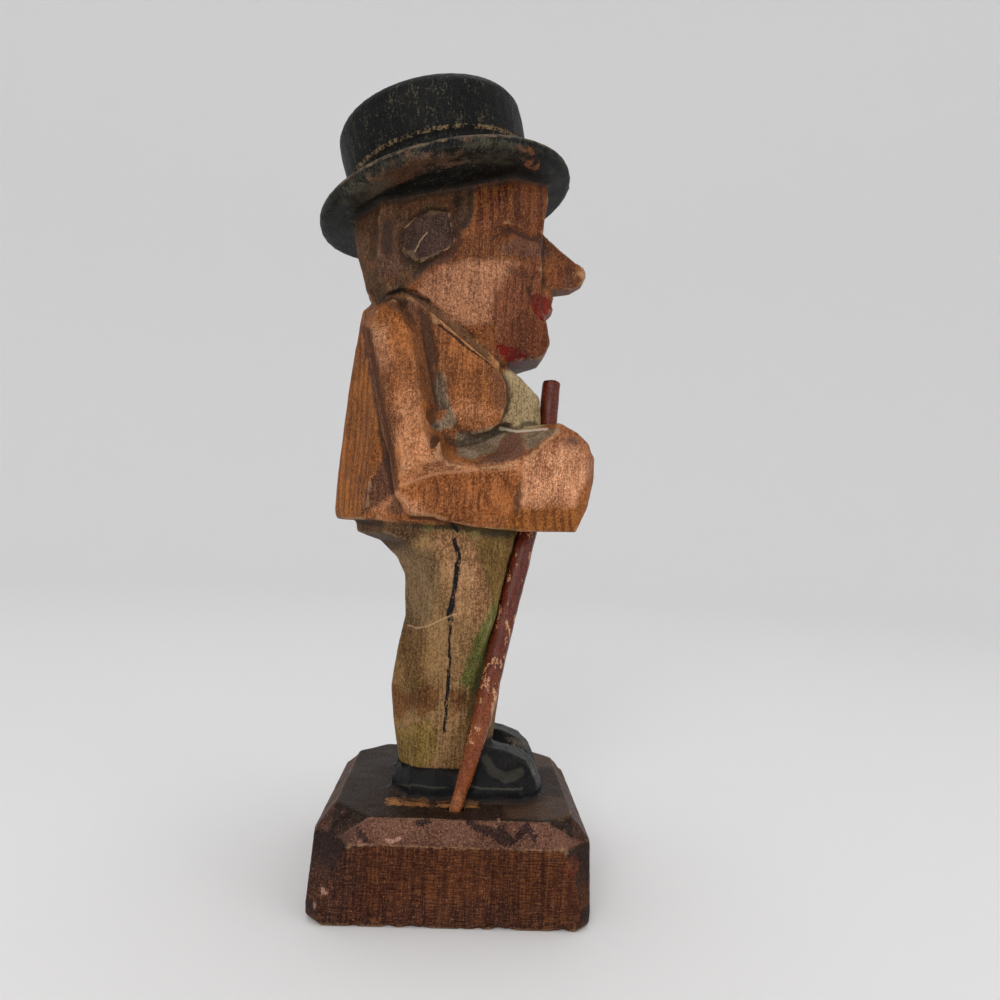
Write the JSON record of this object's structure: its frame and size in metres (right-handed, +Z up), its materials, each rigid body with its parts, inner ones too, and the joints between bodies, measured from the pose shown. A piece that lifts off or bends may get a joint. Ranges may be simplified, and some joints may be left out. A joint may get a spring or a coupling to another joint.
{
  "type": "figurine",
  "caption": "Carved and painted wooden villager in a brimmed top hat and long coat, holding a twig walking stick, standing on a chamfered square plinth.",
  "frame": {"origin": "centre of the plinth's underside", "axes": "+X the way the villager faces, +Y the villager's left hand side, +Z up"},
  "size_m": [0.051, 0.0464, 0.1377],
  "materials": {
    "painted_pine": "satin",
    "varnished_twig": "satin"
  },
  "bodies": {
    "root": {"villager_on_plinth": "painted_pine", "walking_stick": "varnished_twig"}
  },
  "joints": []
}
